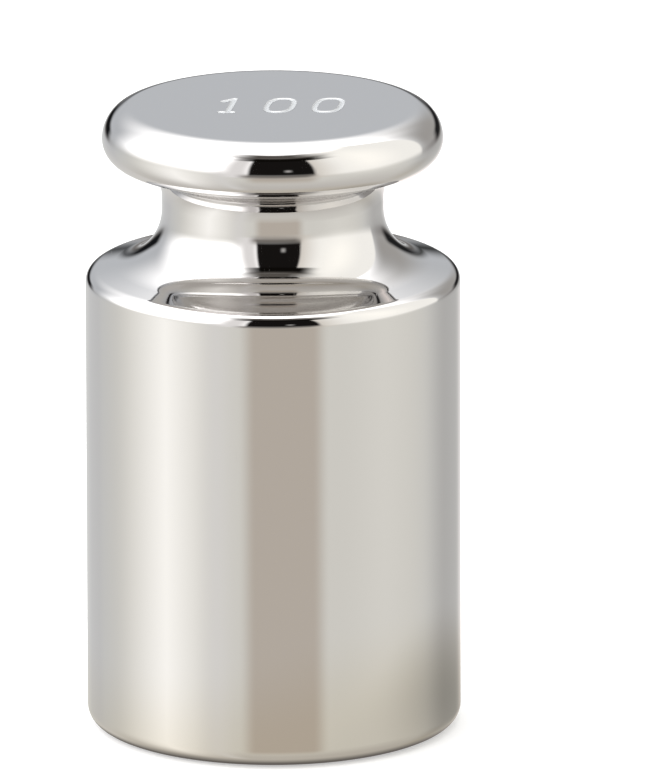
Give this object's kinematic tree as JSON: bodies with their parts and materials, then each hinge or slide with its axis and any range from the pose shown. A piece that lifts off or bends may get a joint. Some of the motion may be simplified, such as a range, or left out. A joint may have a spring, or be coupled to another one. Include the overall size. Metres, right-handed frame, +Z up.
{
  "type": "calibration weight",
  "caption": "Polished cylindrical calibration weight with a flat-topped lifting knob on a narrow neck, for testing and adjusting balances.",
  "frame": {"origin": "centre of the flat base", "axes": "+Z up along the axis of revolution, towards the knob; +X to the right and -Y to the front for someone reading the digits on the knob"},
  "size_m": [0.022, 0.022, 0.0372],
  "materials": {
    "polished_metal": "mirror polished all over, with matt engraved digits on the knob"
  },
  "bodies": {
    "root": {"weight": "polished_metal"}
  },
  "joints": []
}
